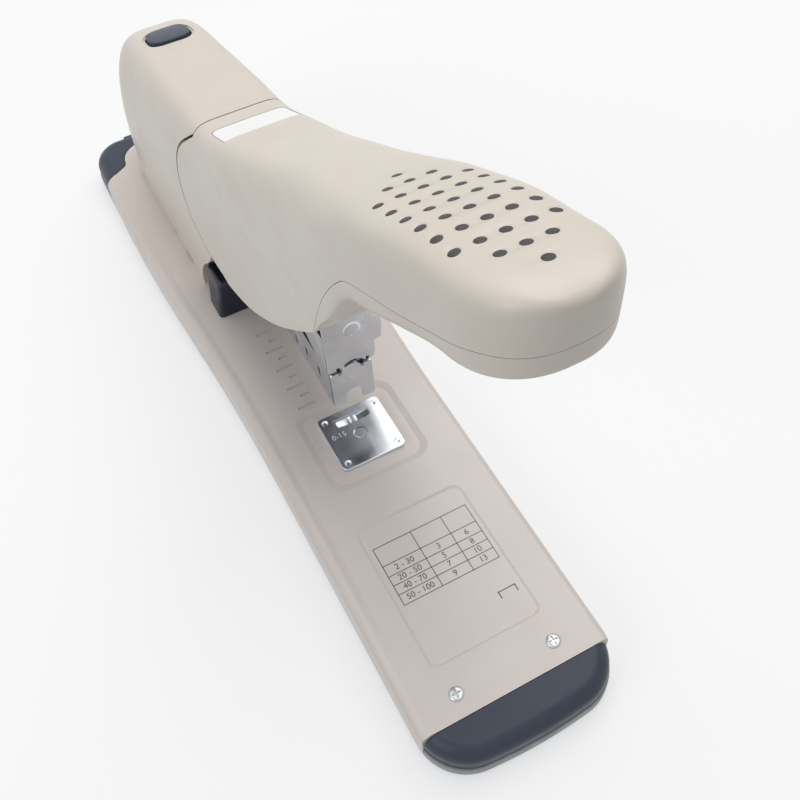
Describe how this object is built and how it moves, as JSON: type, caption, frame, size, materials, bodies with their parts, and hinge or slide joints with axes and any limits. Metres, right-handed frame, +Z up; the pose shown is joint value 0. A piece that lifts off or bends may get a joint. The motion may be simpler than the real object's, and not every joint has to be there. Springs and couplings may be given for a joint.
{
  "type": "desk stapler",
  "caption": "Heavy desk stapler: long hinged hand lever over a driver arm and a front-loading magazine, on a long steel base with anvil, paper guide and end caps",
  "frame": {"origin": "centre of the rest face under the base", "axes": "+X across the width, -Y towards the anvil end, +Z up"},
  "size_m": [0.0776, 0.3254, 0.1869],
  "materials": {
    "base_paint": "satin",
    "beige_plastic": "satin",
    "dark_plastic": "satin",
    "navy_plastic": "satin",
    "chrome": "polished",
    "zinc": "plain",
    "black_steel": "satin",
    "rubber": "matte",
    "paper": "matte"
  },
  "bodies": {
    "base": {"base_shell": "base_paint", "base_floor": "black_steel", "front_cap": "dark_plastic", "rear_cap": "dark_plastic", "foot_front_left": "rubber", "foot_front_right": "rubber", "foot_rear_left": "rubber", "foot_rear_right": "rubber", "cap_screw_left": "zinc", "cap_screw_right": "zinc", "anvil_plate": "chrome", "anvil_screw": "zinc", "anvil_nut": "zinc", "body_frame": "black_steel", "frame_bolt_1": "zinc", "frame_bolt_2": "zinc", "frame_bolt_3": "zinc", "frame_bolt_4": "zinc", "rear_cover": "beige_plastic", "handle_pin": "zinc", "arm_pin": "zinc", "handle_pin_ring_left": "black_steel", "handle_pin_ring_right": "black_steel", "arm_pin_ring_left": "black_steel", "arm_pin_ring_right": "black_steel", "arm_spacer_left": "zinc", "arm_spacer_right": "zinc", "lift_spring": "black_steel", "button_spring": "black_steel"},
    "handle": {"handle_shell": "beige_plastic", "grip_cover": "beige_plastic", "handle_lever": "black_steel", "lever_roller": "zinc", "roller_pin": "zinc", "blank_label": "paper", "grip_screw_1": "zinc", "grip_screw_2": "zinc"},
    "driver": {"driver_arm": "chrome", "driver_head": "chrome", "driver_blade": "zinc", "blade_holder": "zinc"},
    "magazine": {"magazine_sleeve": "chrome", "return_spring": "black_steel"},
    "staple_carrier": {"staple_tray": "chrome", "tray_core": "zinc", "feed_rod": "zinc", "feed_spring": "black_steel"},
    "staple_pusher": {"pusher": "dark_plastic"},
    "button": {"release_button": "dark_plastic"},
    "guide": {"paper_guide": "navy_plastic", "guide_shoe": "dark_plastic"}
  },
  "joints": [
    {"name": "handle_hinge", "type": "hinge", "parent": "base", "child": "handle", "pos_m": [0, 0.021, 0.077], "axis": [1, 0, 0], "range_deg": [0, 30], "stiffness_Nm_per_rad": 1.5, "springref_deg": -45.84},
    {"name": "driver_hinge", "type": "hinge", "parent": "base", "child": "driver", "pos_m": [0, 0.123, 0.051], "axis": [1, 0, 0], "range_deg": [0, 11.1], "deforming": ["return_spring"]},
    {"name": "magazine_hinge", "type": "hinge", "parent": "base", "child": "magazine", "pos_m": [0, 0.123, 0.051], "axis": [1, 0, 0], "range_deg": [0, 6], "deforming": ["lift_spring"]},
    {"name": "tray_slide", "type": "slide", "parent": "magazine", "child": "staple_carrier", "axis": [0, 1, 0], "range_m": [-0.055, 0]},
    {"name": "pusher_slide", "type": "slide", "parent": "staple_carrier", "child": "staple_pusher", "axis": [0, 1, 0], "range_m": [0, 0.06], "stiffness_N_per_m": 15, "springref_m": -0.06, "deforming": ["feed_spring"]},
    {"name": "button_press", "type": "slide", "parent": "base", "child": "button", "axis": [0, 0, -1], "range_m": [0, 0.003], "stiffness_N_per_m": 400, "springref_m": -0.003, "deforming": ["button_spring"]},
    {"name": "guide_slide", "type": "slide", "parent": "base", "child": "guide", "axis": [0, -1, 0], "range_m": [0, 0.055]}
  ],
  "couplings": [
    {"joint": "driver_hinge", "follows": "handle_hinge", "ratio": 0.3685},
    {"joint": "magazine_hinge", "follows": "handle_hinge", "ratio": 0.199}
  ]
}
